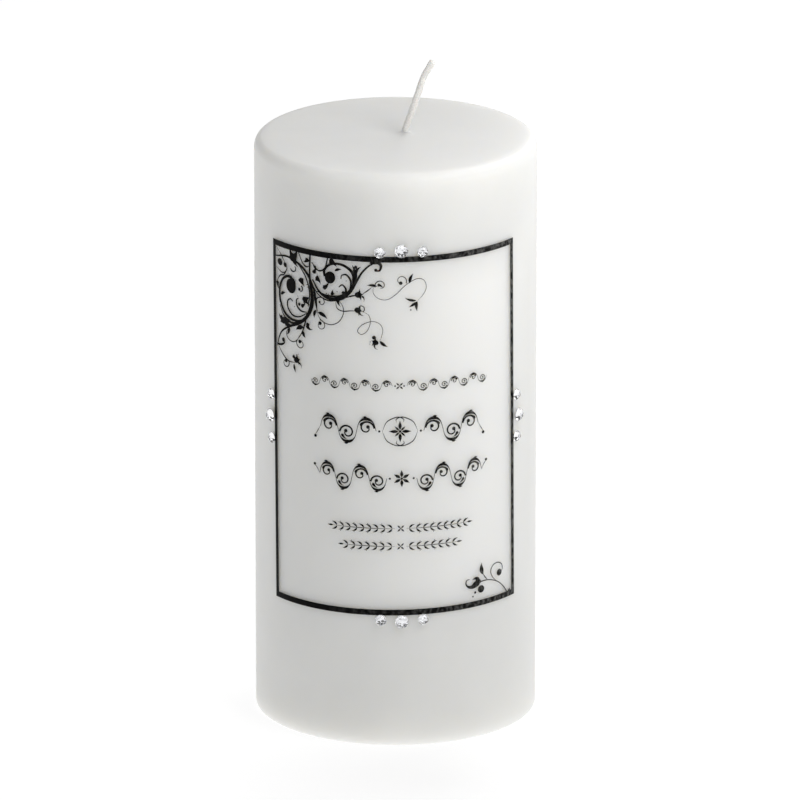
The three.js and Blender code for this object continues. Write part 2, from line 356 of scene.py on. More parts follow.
def wax_surface():
    """Smooth cast paraffin: faint clouds in its depth, fine grain and a soft low gloss."""
    wax = Surface("wax_paraffin")
    cloud = wax.noise(22 * MM, detail=3)
    grain = wax.noise(0.7 * MM, detail=2)
    # The wax is painted paler on the lit side under the film, a painted sheen for the film's gloss,
    # and towards the right of the top, a painted highlight.
    height = wax.axis("Z")
    upright = wax.combine(wax.between(height, *SHEEN_PAINT_FOOT), wax.between(height, *SHEEN_PAINT_HEAD))
    front = wax.combine(wax.between(wax.axis("X"), *SHEEN_PAINT_ACROSS),
                        wax.between(wax.axis("Y"), *SHEEN_PAINT_FRONT))
    crown = wax.combine(wax.between(height, *PAINTED_TOP_LIGHT_HEIGHT),
                        wax.between(wax.axis("X"), *PAINTED_TOP_LIGHT_ACROSS))
    painted_light_mask = wax.combine(wax.combine(upright, front), crown, "ADD")
    # Painted light: the wax's colour is mixed towards the paler one where the painted sheen and
    # highlight fall.
    painted_light_mix = wax.nodes.new("ShaderNodeMix")
    painted_light_mix.data_type = "RGBA"
    wax.links.new(painted_light_mask, painted_light_mix.inputs[0])
    wax.links.new(wax.ramp(cloud, [(0.3, (0.752, 0.754, 0.742)), (0.7, (0.784, 0.785, 0.772))]),
                  painted_light_mix.inputs[6])
    painted_light_mix.inputs[7].default_value = SHEEN_PAINT_WAX
    wax.plug(painted_light_mix.outputs[2], "Base Color")
    wax.plug(wax.ramp(wax.noise(6 * MM, detail=4), [(0.3, 0.42), (0.7, 0.54)]), "Roughness")
    wax.bump([(grain, 0.35), (wax.noise(5 * MM), 1.0)], distance=0.03 * MM, strength=0.5)
    wax.set("Specular IOR Level", 0.04)
    wax.plug(wax.ramp(cloud, [(0.3, 0.06), (0.7, 0.10)]), "Coat Weight")
    wax.set("Coat Roughness", 0.12)
    wax.set("Subsurface Weight", 1.0)
    wax.set("Subsurface Radius", (1.0, 0.95, 0.85))
    wax.set("Subsurface Scale", 10 * MM)
    return wax.material


def wick_surface():
    """Cotton stiffened with wax: off-white, flecked and matt."""
    cotton = Surface("wick_waxed_cotton")
    fleck = cotton.noise(0.35 * MM, detail=3)
    cotton.plug(cotton.ramp(fleck, [(0.3, (0.74, 0.73, 0.70)), (0.65, (0.90, 0.89, 0.87))]),
                "Base Color")
    cotton.plug(cotton.ramp(cotton.noise(1.5 * MM), [(0.3, 0.45), (0.7, 0.75)]), "Roughness")
    cotton.bump([(fleck, 1.0)], distance=0.06 * MM)
    cotton.set("Subsurface Weight", 0.4)
    cotton.set("Subsurface Radius", (1.0, 0.9, 0.8))
    cotton.set("Subsurface Scale", 0.6 * MM)
    return cotton.material


def film_surface():
    """Clear film: almost only what lies behind it shows."""
    film = Surface("film_clear_polyester")
    film.plug(film.ramp(film.noise(14 * MM), [(0.3, (0.72, 0.72, 0.71)), (0.7, (0.78, 0.78, 0.77))]),
              "Base Color")
    film.plug(film.ramp(film.noise(9 * MM, detail=4), [(0.3, 0.20), (0.7, 0.30)]), "Roughness")
    film.set("Alpha", 0.005)
    film.bump([(film.noise(26 * MM, detail=1), 1.0)], 0.05 * MM, 0.4)
    return film.material


def ink_surface():
    """Black toner: dense, with grey streaks of wear that are painted denser towards the lit right as a
    painted sheen, nearly matt.
    """
    ink = Surface("ink_black_toner")
    streak = ink.noise(0.8 * MM, detail=4, stretch=(1.0, 1.0, 0.6), roughness=0.7)
    patch = ink.noise(6 * MM, detail=3)
    speck = ink.noise(0.30 * MM, detail=3, roughness=0.7)
    # Painted sheen: more of the grey streaks show towards the lit right.
    wear_and_sheen = ink.combine(ink.between(ink.axis("X"), *INK_WEAR_AND_SHEEN),
                       ink.ramp(streak, [(0.44, 0.0), (0.62, 1.0)]))
    ink.plug(ink.ramp(wear_and_sheen, [(0.0, (0.0006, 0.0006, 0.0006)), (1.0, (0.115, 0.115, 0.11))]),
             "Base Color")
    ink.plug(ink.ramp(patch, [(0.35, 0.26), (0.65, 0.42)]), "Roughness")
    ink.bump([(streak, 1.0), (speck, 0.7)], distance=0.06 * MM)
    ink.set("Specular IOR Level", 0.04)
    return ink.material


def crystal_surface():
    """Clear cut glass, bright and very slightly clouded inside."""
    crystal = Surface("crystal_glass")
    tint = crystal.noise(0.9 * MM, detail=2)
    crystal.plug(crystal.ramp(tint, [(0.3, (0.96, 0.96, 0.96)), (0.7, (1.0, 1.0, 1.0))]), "Base Color")
    crystal.plug(crystal.ramp(crystal.noise(0.4 * MM), [(0.55, 0.0), (0.95, 0.03)]), "Roughness")
    crystal.set("Transmission Weight", 1.0)
    crystal.set("IOR", 1.58)
    return crystal.material


def foil_surface():
    """The mirror behind a stone, faceted so that it throws the light about."""
    foil = Surface("foil_mirror")
    crease = foil.noise(0.5 * MM, detail=3)
    foil.plug(foil.ramp(crease, [(0.3, (0.82, 0.83, 0.86)), (0.7, (0.93, 0.94, 0.96))]), "Base Color")
    foil.plug(foil.ramp(crease, [(0.3, 0.02), (0.7, 0.06)]), "Roughness")
    foil.bump([(foil.cells(FOIL_FACET), 1.0)], distance=FOIL_RELIEF)
    foil.set("Metallic", 1.0)
    return foil.material


def glue_surface():
    """Clear glue, faintly milky."""
    glue = Surface("glue_clear")
    drift = glue.noise(0.8 * MM)
    glue.plug(glue.ramp(drift, [(0.3, (0.86, 0.85, 0.81)), (0.7, (0.93, 0.92, 0.89))]), "Base Color")
    glue.plug(glue.ramp(drift, [(0.3, 0.15), (0.7, 0.3)]), "Roughness")
    glue.set("Alpha", 0.6)
    return glue.material


def clip_surface():
    """Tinned steel with the streaks of rolling."""
    clip = Surface("clip_tinned_steel")
    rolled = clip.noise(0.5 * MM, detail=4, stretch=(6.0, 0.3, 1.0))
    clip.plug(clip.ramp(rolled, [(0.3, (0.58, 0.59, 0.60)), (0.7, (0.74, 0.75, 0.76))]), "Base Color")
    clip.plug(clip.ramp(rolled, [(0.3, 0.28), (0.7, 0.45)]), "Roughness")
    clip.bump([(rolled, 1.0)], distance=0.01 * MM)
    clip.set("Metallic", 1.0)
    return clip.material


# ------------------------------------------------------------------ meshes

def add_piece(name, vertices, faces, material, slot, sharp_angle=math.radians(40)):
    """Makes a mesh that rides on the candle, smooth except at its sharp edges."""
    mesh = bpy.data.meshes.new(name)
    mesh.from_pydata([tuple(v) for v in vertices], [], faces)
    work = bmesh.new()
    work.from_mesh(mesh)
    bmesh.ops.recalc_face_normals(work, faces=work.faces)
    for face in work.faces:
        face.smooth = True
    for edge in work.edges:
        edge.smooth = edge.calc_face_angle(0) < sharp_angle
    work.to_mesh(mesh)
    work.free()
    mesh.materials.append(material)
    piece = bpy.data.objects.new(name, mesh)
    bpy.context.scene.collection.objects.link(piece)
    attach(piece, BODY)
    return piece


def lerp(a, b, t):
    return a + (b - a) * t


def ripple(x, y, z, size, seed=0.0):
    """Smooth noise from 0 to 1 with features about size metres across."""
    return 0.5 + 0.5 * noise.noise(Vector((x / size + seed, y / size, z / size)))


# ------------------------------------------------------------------ pillar

def pillar_rings():
    """Rings of the wax, as (centre share, radius, height): share 0 is on the pillar's
    axis and 1 on the wick's line. They run from the clip's seat out under the base, up
    the side, over the top and down the wick's hole."""
    seat = CLIP_HIGH.x - WICK_X + CLIP_GAP
    foot = RADIUS - BASE_EDGE
    crown = RADIUS - SHOULDER
    rings = []
    for step in range(FOOT_RINGS):
        t = step / FOOT_RINGS
        rings.append((1 - t, lerp(seat, foot, t), 0.0))
    for step in range(EDGE_RINGS + 1):
        a = math.pi / 2 * step / EDGE_RINGS
        rings.append((0, foot + BASE_EDGE * math.sin(a), BASE_EDGE * (1 - math.cos(a))))
    for step in range(1, SIDE_RINGS):
        rings.append((0, RADIUS, lerp(BASE_EDGE, HEIGHT - SHOULDER, step / SIDE_RINGS)))
    for step in range(SHOULDER_RINGS + 1):
        a = math.pi / 2 * step / SHOULDER_RINGS
        rings.append((0, crown + SHOULDER * math.cos(a), HEIGHT - SHOULDER * (1 - math.sin(a))))
    for step in range(1, TOP_RINGS):
        t = step / TOP_RINGS
        rings.append((t, lerp(crown, COLLAR_RADIUS, t), HEIGHT))
    # A small collar of wax climbs the wick.
    mouth = WICK_RADIUS * 0.90
    for step in range(COLLAR_RINGS + 1):
        t = step / COLLAR_RINGS
        rings.append((1, lerp(COLLAR_RADIUS, mouth, t), HEIGHT + COLLAR_HEIGHT * t ** 3))
    # Near the top the wax has soaked into the wick and closes about its middle.
    core = 0.05 * MM
    rings.append((1, core, HEIGHT + COLLAR_HEIGHT))
    rings.append((1, core, HEIGHT - SOAKED_DEPTH))
    # Further down it stands clear of the wick, and of the clip in its pocket.
    hole = WICK_RADIUS + CLIP_GAP
    pocket = CLIP_NECK + CLIP_GAP
    pocket_top = CLIP_NECK_TOP + CLIP_GAP
    seat_top = CLIP_LOW.z + CLIP_SEAT_HEIGHT
    rings.append((1, hole, HEIGHT - SOAKED_DEPTH - 0.5 * MM))
    rings.append((1, hole, pocket_top))
    rings.append((1, pocket, pocket_top))
    rings.append((1, pocket, seat_top))
    rings.append((1, seat, seat_top))
    return rings


def weathered(x, y, z):
    """The cast surface is never quite true: broad shallow waves, all inwards."""
    from_axis = math.hypot(x, y)
    if from_axis > RADIUS - 0.3 * MM:
        wave = 0.07 * MM * ripple(x, y, z, 19 * MM) + 0.02 * MM * ripple(x, y, z, 4 * MM, 7.0)
        nick = max(0.0, ripple(x, y, z * 3, 1.6 * MM, 3.0) - 0.62) * 0.5 * MM
        edge = max(0.0, 1 - z / (1.2 * MM))
        scale = (from_axis - wave - nick * edge) / from_axis
        return x * scale, y * scale, z
    if z > HEIGHT - 0.2 * MM:
        dish = 0.25 * MM * (1 - min(1.0, from_axis / RADIUS) ** 2)
        wave = 0.16 * MM * ripple(x, y, z, 15 * MM, 5.0) + 0.05 * MM * ripple(x, y, z, 4 * MM, 9.0)
        return x, y, z - dish - wave
    return x, y, z


def make_pillar():
    """The wax in one closed mesh, ring by ring."""
    around = PILLAR_SIDES
    rings = pillar_rings()
    vertices = []
    for share, radius, height in rings:
        for i in range(around):
            angle = 2 * math.pi * i / around
            x = share * WICK_X + radius * math.cos(angle)
            y = share * WICK_Y + radius * math.sin(angle)
            vertices.append(weathered(x, y, height))
    faces = []
    count = len(rings)
    for ring in range(count):
        for i in range(around):
            j = (i + 1) % around
            below, above = ring * around, ((ring + 1) % count) * around
            faces.append((below + i, below + j, above + j, above + i))
    pillar = add_piece("pillar_wax", vertices, faces, wax_surface(), "wax")
    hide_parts("wax_pillar")


# ------------------------------------------------------------------ wick

def spline(points, steps):
    """Evenly spaced-in-parameter points of a Catmull-Rom curve through the given ones."""
    ends = [points[0] * 2 - points[1], *points, points[-1] * 2 - points[-2]]
    result = []
    spans = len(points) - 1
    for k in range(spans):
        p0, p1, p2, p3 = ends[k:k + 4]
        for step in range(steps):
            t = step / steps
            result.append(0.5 * (2 * p1 + (p2 - p0) * t + (2 * p0 - 5 * p1 + 4 * p2 - p3) * t * t
                                 + (3 * p1 - p0 - 3 * p2 + p3) * t ** 3))
    result.append(points[-1].copy())
    return result


def make_wick():
    """A braided cotton cord: crossing ridges of two helices, softened by dipped wax."""
    line = [Vector((WICK_X, WICK_Y, WICK_LOW.z + 0.1 * MM)), Vector((WICK_X, WICK_Y, HEIGHT - 6 * MM)),
            Vector((WICK_X, WICK_Y, HEIGHT))]
    line += [Vector((WICK_X + lean * MM, WICK_Y, HEIGHT + rise * MM)) for lean, rise in WICK_LEAN]
    centre = [line[0].lerp(line[1], t / WICK_STEPS) for t in range(WICK_STEPS)]
    centre += spline(line[1:], WICK_STEPS)
    around = WICK_SIDES
    vertices, travelled = [], 0.0
    for k, point in enumerate(centre):
        if k:
            travelled += (point - centre[k - 1]).length
        ahead = centre[min(k + 1, len(centre) - 1)] - centre[max(k - 1, 0)]
        forward = ahead.normalized()
        side = Vector((0, 1, 0))
        across = side.cross(forward).normalized()
        left = (centre[-1] - point).length
        cut = min(1.0, 0.80 + left / (1.2 * MM))
        for i in range(around):
            angle = 2 * math.pi * i / around
            turn = 2 * math.pi * travelled / WICK_PITCH
            ridge = max(math.cos(WICK_STRANDS * angle + turn),
                        math.cos(WICK_STRANDS * angle - turn))
            lump = ripple(point.x + angle * MM, point.y, point.z, 2.2 * MM)
            radius = WICK_RADIUS * (0.92 + 0.035 * ridge + 0.065 * lump) * cut
            vertices.append(point + (across * math.cos(angle) + side * math.sin(angle)) * radius)
    faces = []
    for k in range(len(centre) - 1):
        for i in range(around):
            j = (i + 1) % around
            faces.append((k * around + i, k * around + j, (k + 1) * around + j, (k + 1) * around + i))
    faces.append(tuple(reversed(range(around))))
    tip = len(vertices)
    last = (len(centre) - 1) * around
    vertices.append(centre[-1] + (centre[-1] - centre[-2]).normalized() * 0.12 * MM)
    faces += [(last + i, last + (i + 1) % around, tip) for i in range(around)]
    wick = add_piece("wick_braided", vertices, faces, wick_surface(), "wick", math.radians(70))
    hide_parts("wick")


# ------------------------------------------------------------------ label

def on_pillar(u, v, lift):
    """Where a point of the flat label, in millimetres, lies round the pillar."""
    along = u * math.cos(LABEL_TILT) - v * math.sin(LABEL_TILT)
    up = u * math.sin(LABEL_TILT) + v * math.cos(LABEL_TILT)
    azimuth = along * MM / RADIUS
    radius = RADIUS + lift * MM
    return radius * math.sin(azimuth), -radius * math.cos(azimuth), LABEL_CENTRE_Z + up * MM


def slab(rows, lift, thickness, closed=False):
    """Vertices and faces of a thin wrapped sheet. rows is a grid of (u, v) points, and
    closed joins its last row to its first."""
    across = len(rows[0])
    vertices = [on_pillar(u, v, lift + thickness) for row in rows for u, v in row]
    top = len(vertices)
    vertices += [on_pillar(u, v, lift) for row in rows for u, v in row]
    faces = []
    spans = len(rows) if closed else len(rows) - 1
    for k in range(spans):
        here, there = k * across, ((k + 1) % len(rows)) * across
        for i in range(across - 1):
            quad = (here + i, here + i + 1, there + i + 1, there + i)
            faces.append(quad)
            faces.append(tuple(top + c for c in reversed(quad)))
        for i in (0, across - 1):
            faces.append((here + i, there + i, top + there + i, top + here + i))
    if not closed:
        for k in (0, (len(rows) - 1) * across):
            for i in range(across - 1):
                faces.append((k + i, k + i + 1, top + k + i + 1, top + k + i))
    return vertices, faces


def make_film():
    """The clear sheet of the label."""
    columns, lines = FILM_COLUMNS, FILM_LINES
    half_width, half_height = LABEL_WIDTH / 2, LABEL_HEIGHT / 2
    rows = [[(lerp(-half_width, half_width, i / columns), lerp(-half_height, half_height, k / lines))
             for i in range(columns + 1)] for k in range(lines + 1)]
    film = add_piece("film_label", *slab(rows, FILM_LIFT, FILM_THICKNESS), film_surface(), "film")
    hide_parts("label_film")


def rectangle(half_width, half_height, steps):
    """Points round a rectangle, steps to a side."""
    corners = [(-1, -1), (1, -1), (1, 1), (-1, 1)]
    points = []
    for (x0, y0), (x1, y1) in zip(corners, corners[1:] + corners[:1]):
        for step in range(steps):
            t = step / steps
            points.append((half_width * lerp(x0, x1, t), half_height * lerp(y0, y1, t)))
    return points


def make_border(ink):
    """The black frame printed round the label's edge."""
    steps, lanes = BORDER_STEPS, BORDER_LANES
    outer = rectangle(LABEL_WIDTH / 2, LABEL_HEIGHT / 2, steps)
    inner = rectangle(LABEL_WIDTH / 2 - BORDER_SIDE_WIDTH, LABEL_HEIGHT / 2 - BORDER_WIDTH, steps)
    rows = [[(lerp(a[0], b[0], i / lanes), lerp(a[1], b[1], i / lanes)) for i in range(lanes + 1)]
            for a, b in zip(outer, inner)]
    shape = slab(rows, BORDER_LIFT, BORDER_THICKNESS, closed=True)
    border = add_piece("border_print", *shape, ink, "ink")
    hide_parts("label_border")


# ------------------------------------------------------------------ printed ornament

class Print:
    """Ink shapes on the label, drawn as strokes on the flat sheet and gathered into one
    piece. A stroke is a list of (u, v, half width), in millimetres."""

    def __init__(self, name, origin=(0.0, 0.0), down=False):
        self.name = name
        self.origin = origin
        self.flip = -1.0 if down else 1.0
        self.mirror = 1.0
        self.vertices, self.faces, self.count = [], [], 0

    def stroke(self, points, steps=10):
        """A solid ribbon along a smooth curve through the points."""
        line = spline([Vector(p) for p in points], steps)
        rows = []
        for k, point in enumerate(line):
            ahead = line[min(k + 1, len(line) - 1)] - line[max(k - 1, 0)]
            length = math.hypot(ahead.x, ahead.y) or 1.0
            side = Vector((-ahead.y / length, ahead.x / length))
            half = max(point.z, LEAST_HALF_WIDTH)
            lanes = max(2, math.ceil(2 * max(p.z for p in line) / WIDEST_LANE))
            row = []
            for i in range(lanes + 1):
                offset = half * (2 * i / lanes - 1)
                x, y = point.x + side.x * offset, point.y + side.y * offset
                row.append((self.origin[0] + self.mirror * x, self.origin[1] + self.flip * y))
            rows.append(row)
        lift = PRINT_LIFT + STROKE_STEP * (self.count % STROKE_STEPS_HIGH)
        vertices, faces = slab(rows, lift, PRINT_THICKNESS)
        start = len(self.vertices)
        self.vertices += vertices
        self.faces += [tuple(start + c for c in face) for face in faces]
        self.count += 1

    def vine(self, points, half, taper=(0.15, 0.15)):
        """A stem of one width that thins towards its ends."""
        last = len(points) - 1
        shaped = []
        for k, (x, y) in enumerate(points):
            swell = math.sin(math.pi * (0.12 + 0.76 * k / last)) ** 0.6
            width = half * swell
            if k == 0:
                width = half * taper[0]
            if k == last:
                width = half * taper[1]
            shaped.append((x, y, width))
        self.stroke(shaped)

    def dot(self, x, y, radius, stretch=1.0, heading=0.0):
        """A round or oval spot."""
        c, s = math.cos(math.radians(heading)), math.sin(math.radians(heading))
        points = []
        for k in range(9):
            t = -math.cos(math.pi * k / 8)
            points.append((x + c * t * radius * stretch, y + s * t * radius * stretch,
                           radius * math.sqrt(max(0.0, 1 - t * t))))
        self.stroke(points, steps=3)

    def leaf(self, x, y, heading, length, half, bend=0.0):
        """A pointed leaf from its stalk at (x, y) along heading, in degrees."""
        points = []
        for k in range(8):
            t = k / 7
            turn = math.radians(heading + bend * (t - 0.5))
            width = half * (math.sin(math.pi * t ** 0.8) ** 1.15 if 0 < k < 7 else 0.05)
            points.append((x + length * t * math.cos(turn), y + length * t * math.sin(turn), width))
        self.stroke(points, steps=4)

    def comma(self, x, y, heading, length, half, bend):
        """A drop with a round head at (x, y) and a tail that bends away."""
        points, px, py = [], x, y
        for k in range(9):
            t = k / 8
            width = half * (math.sqrt(max(0.0, 1 - (1 - t / 0.22) ** 2)) if t < 0.22
                            else (1 - (t - 0.22) / 0.78) ** 1.2)
            points.append((px, py, width))
            turn = math.radians(heading + bend * t)
            px += length / 8 * math.cos(turn)
            py += length / 8 * math.sin(turn)
        self.stroke(points, steps=4)

    def curl(self, x, y, radius, start, sweep, half, inner=0.25, eye=0.0):
        """A spiral about (x, y) that begins at the angle start and turns by sweep while it
        closes to inner times its radius, where an eye may sit."""
        turns = max(6, int(abs(sweep) / 30))
        points = []
        for k in range(turns + 1):
            t = k / turns
            r = radius * lerp(1.0, inner, t ** 0.85)
            a = math.radians(start + sweep * t)
            points.append((x + r * math.cos(a), y + r * math.sin(a), half * lerp(1.0, 0.55, t)))
        self.stroke(points, steps=5)
        if eye:
            ex, ey, _ = points[-1]
            self.dot(ex, ey, eye)

    def bud(self, x, y, heading, size):
        """A small flower seen from its side: a heart of three petals on a cup."""
        self.dot(x, y, 0.42 * size, 1.2, heading)
        for turn, reach in ((-52, 0.9), (0, 0.75), (52, 0.9)):
            self.comma(x, y, heading + turn, reach * size, 0.26 * size, turn * 0.9)

    def piece(self, ink):
        """Makes the piece out of every stroke drawn so far."""
        return add_piece(self.name, self.vertices, self.faces, ink, "ink")


def print_corner(ink):
    """Scrollwork in the upper left corner: two wheels of foliage either side of a stem,
    and tendrils that run along the top and down the side. x is from the border's inner
    corner to the right, and y is down from it."""
    p = Print("scroll_corner", CORNER, down=True)

    # The two stems that meet in the middle, and the one that carries on down the side.
    p.stroke([(-0.6, 2.0, 0.18), (4.0, 1.15, 0.26), (8.2, 2.1, 0.34), (11.2, 4.2, 0.36),
              (13.2, 7.6, 0.30), (14.2, 11.2, 0.20), (14.4, 14.4, 0.10)])
    p.stroke([(12.4, -1.1, 0.24), (12.2, 3.0, 0.28), (12.3, 6.5, 0.36), (12.9, 9.8, 0.52),
              (12.7, 12.8, 0.62), (11.2, 16.0, 0.50), (8.4, 18.4, 0.42), (4.9, 20.0, 0.30),
              (2.0, 21.8, 0.24), (0.5, 24.0, 0.20), (-0.3, 26.4, 0.12)])
    p.stroke([(8.4, 2.3, 0.14), (10.9, 5.4, 0.20), (12.1, 9.4, 0.20), (11.6, 13.2, 0.14)])
    p.stroke([(13.1, 5.6, 0.20), (15.2, 8.6, 0.30), (18.0, 10.0, 0.42), (21.4, 9.7, 0.46),
              (24.0, 7.6, 0.40), (25.6, 4.9, 0.32), (27.2, 2.2, 0.26), (29.0, 0.3, 0.24),
              (31.0, -0.9, 0.20)])
    p.stroke([(12.9, 6.9, 0.12), (14.9, 9.4, 0.16), (17.6, 10.6, 0.18), (20.6, 10.3, 0.14)])

    # Left wheel.
    p.stroke([(11.9, 14.8, 0.14), (9.4, 17.4, 0.26), (6.2, 17.9, 0.34), (3.1, 16.6, 0.40),
              (1.2, 13.6, 0.42), (1.1, 10.2, 0.40), (2.6, 7.4, 0.36), (4.9, 6.4, 0.40),
              (6.6, 7.3, 0.46), (7.1, 8.8, 0.30)])
    p.dot(5.6, 8.9, 1.75, 1.12, 75)
    p.stroke([(11.4, 15.0, 0.10), (8.6, 16.6, 0.18), (6.1, 16.6, 0.24), (4.4, 15.0, 0.26),
              (4.3, 13.2, 0.22), (5.4, 12.4, 0.18), (6.3, 12.9, 0.14)])
    p.stroke([(1.0, 14.9, 0.10), (2.6, 17.3, 0.18), (5.3, 18.8, 0.26), (8.4, 18.2, 0.20)])
    p.stroke([(11.2, 14.9, 0.10), (9.3, 14.9, 0.24), (7.9, 13.9, 0.26), (7.6, 12.3, 0.20),
              (8.3, 11.6, 0.14)])
    p.leaf(1.5, 12.1, -38, 2.1, 0.42, 26)
    p.comma(9.2, 13.6, -20, 2.2, 0.55, -50)
    p.dot(8.6, 13.2, 0.45)
    p.comma(10.0, 10.8, 60, 3.2, 0.75, -40)
    p.leaf(10.2, 12.6, -60, 2.6, 0.62, 30)
    p.comma(9.1, 5.9, 70, 2.6, 0.95, -30)
    p.curl(9.0, 9.0, 1.0, -70, 230, 0.22, 0.35, 0.40)
    for x, y, r in ((11.3, 7.4, 0.16), (11.5, 8.0, 0.13), (8.1, 11.1, 0.13), (6.9, 14.2, 0.14)):
        p.dot(x, y, r)

    # Right wheel.
    p.stroke([(14.5, 8.6, 0.12), (17.8, 9.3, 0.24), (21.3, 9.0, 0.34), (24.0, 7.3, 0.42),
              (25.2, 4.6, 0.42), (24.3, 1.9, 0.38), (21.6, 0.4, 0.34), (18.6, 0.7, 0.32),
              (16.8, 2.4, 0.36), (16.9, 4.2, 0.40)])
    p.dot(18.4, 4.3, 1.50, 1.10, 110)
    p.stroke([(22.6, 8.6, 0.12), (24.0, 6.9, 0.24), (24.2, 4.6, 0.28), (23.1, 3.1, 0.24),
              (21.8, 3.3, 0.18), (21.5, 4.3, 0.14)])
    p.stroke([(19.6, 9.3, 0.10), (21.9, 8.9, 0.24), (22.9, 7.2, 0.28), (21.9, 5.9, 0.20),
              (20.9, 6.6, 0.14)])
    p.leaf(19.8, 2.4, -32, 2.0, 0.36, 30)
    p.comma(21.9, 7.6, 60, 1.9, 0.50, 40)
    p.comma(16.2, 7.4, -18, 2.9, 0.62, -70)
    p.comma(14.0, 4.9, 20, 2.4, 0.80, 60)
    p.comma(13.5, 4.0, -75, 2.2, 0.60, 40)
    p.comma(19.2, 9.0, -110, 1.6, 0.55, 50)
    p.comma(20.6, 9.9, 95, 2.2, 0.50, -60)
    for x, y, r in ((17.3, 8.8, 0.14), (17.9, 8.9, 0.12), (20.4, 7.9, 0.14), (23.0, 4.7, 0.12)):
        p.dot(x, y, r)

    # Foliage along the top and in the corner.
    p.stroke([(12.9, 1.0, 0.12), (14.9, 2.9, 0.20), (16.9, 2.0, 0.22), (17.8, -1.0, 0.16)])
    p.comma(14.3, 2.3, 200, 1.5, 0.48, 60)
    p.comma(18.2, -0.4, 20, 2.8, 0.85, 40)
    p.comma(11.7, 0.2, 120, 2.1, 0.70, 50)
    p.stroke([(8.4, -1.1, 0.10), (9.7, 1.4, 0.16), (11.0, 2.5, 0.20), (12.2, 2.2, 0.12)])
    p.dot(6.5, 1.0, 1.15, 1.15, 10)
    p.comma(6.2, 0.6, -130, 2.4, 0.65, 40)
    p.comma(7.0, 0.6, -50, 2.4, 0.65, -30)
    p.comma(6.8, 1.6, 60, 2.2, 0.65, -30)
    p.curl(6.7, 3.7, 1.3, 160, -210, 0.22, 0.45, 0.0)
    p.dot(1.2, 3.3, 0.92, 1.1, 20)
    p.dot(3.4, 3.6, 0.62, 1.1, 60)
    p.vine([(-0.5, 4.9), (1.8, 5.9), (3.3, 5.6), (4.1, 4.4), (3.4, 3.3)], 0.17)
    p.vine([(-0.4, 9.0), (1.2, 7.0), (2.8, 6.4), (4.0, 5.0)], 0.20)
    p.vine([(-0.5, -0.6), (1.5, 1.0), (2.7, 2.3), (3.6, 3.3)], 0.13)
    p.comma(0.0, 8.6, 90, 2.6, 0.60, -40)
    p.leaf(24.6, 5.2, -72, 4.9, 0.66, -34)
    p.leaf(25.6, 4.5, -95, 4.2, 0.60, 50)
    p.comma(26.0, 0.6, 160, 1.8, 0.45, -60)
    p.stroke([(29.6, -0.8, 0.34), (31.3, -0.8, 0.46), (32.2, 0.0, 0.38), (31.9, 1.3, 0.28),
              (30.9, 1.5, 0.20)])
    p.dot(30.9, 1.3, 0.42)
    p.leaf(29.2, -0.5, -8, 2.9, 0.46, 20)

    # Below the left wheel.
    p.comma(2.2, 18.3, 170, 2.0, 0.80, 90)
    p.leaf(1.2, 19.6, -22, 4.6, 0.95, 20)
    p.comma(3.2, 19.2, 30, 2.6, 0.80, -60)
    p.stroke([(-0.4, 25.9, 0.26), (1.4, 25.7, 0.30), (2.7, 25.0, 0.24), (2.8, 24.3, 0.16)])
    p.dot(2.4, 24.2, 0.60)
    p.stroke([(10.9, 16.6, 0.22), (10.3, 18.6, 0.22), (9.6, 20.4, 0.16), (8.4, 22.3, 0.10)])
    p.leaf(10.0, 19.2, 168, 2.9, 0.62, -24)
    p.leaf(9.7, 20.0, 78, 2.2, 0.48, -24)
    p.comma(11.2, 18.3, 75, 2.4, 0.55, -110)
    p.dot(11.4, 18.2, 0.52)
    p.curl(8.9, 23.9, 1.5, 215, -330, 0.15, 0.42, 0.50)
    p.vine([(5.0, 20.0), (3.7, 21.9), (4.4, 23.4), (6.2, 23.9), (7.8, 23.0), (8.5, 21.6)], 0.13)
    p.leaf(4.8, 20.1, 100, 2.6, 0.40, 26)
    p.vine([(-0.1, 25.9), (2.2, 28.2), (4.4, 29.5), (7.2, 29.4)], 0.18)
    p.curl(3.3, 30.2, 1.4, -20, 300, 0.15, 0.40, 0.50)
    p.leaf(6.5, 29.8, 84, 2.4, 0.36, -20)
    p.bud(7.4, 28.6, -18, 1.9)
    p.dot(6.4, 27.9, 0.48)
    p.comma(8.1, 29.2, 10, 1.9, 0.26, 100)
    p.dot(7.6, 27.2, 0.13)
    p.dot(8.1, 26.9, 0.11)

    # Between the wheels and the tendrils.
    p.curl(15.7, 11.3, 1.5, 200, 330, 0.15, 0.32, 0.30)
    p.stroke([(13.4, 8.4, 0.12), (13.9, 11.4, 0.20), (14.5, 14.0, 0.14)])
    p.leaf(14.1, 13.7, 116, 2.3, 0.42, -24)
    p.leaf(14.6, 14.3, 14, 3.2, 0.52, 24)
    p.vine([(14.4, 14.2), (15.3, 15.9), (16.9, 16.9), (19.0, 17.0), (21.0, 15.8), (22.1, 13.6),
            (21.9, 11.6), (20.7, 10.1)], 0.12)
    p.curl(15.5, 17.7, 1.5, -100, 350, 0.13, 0.40, 0.50)

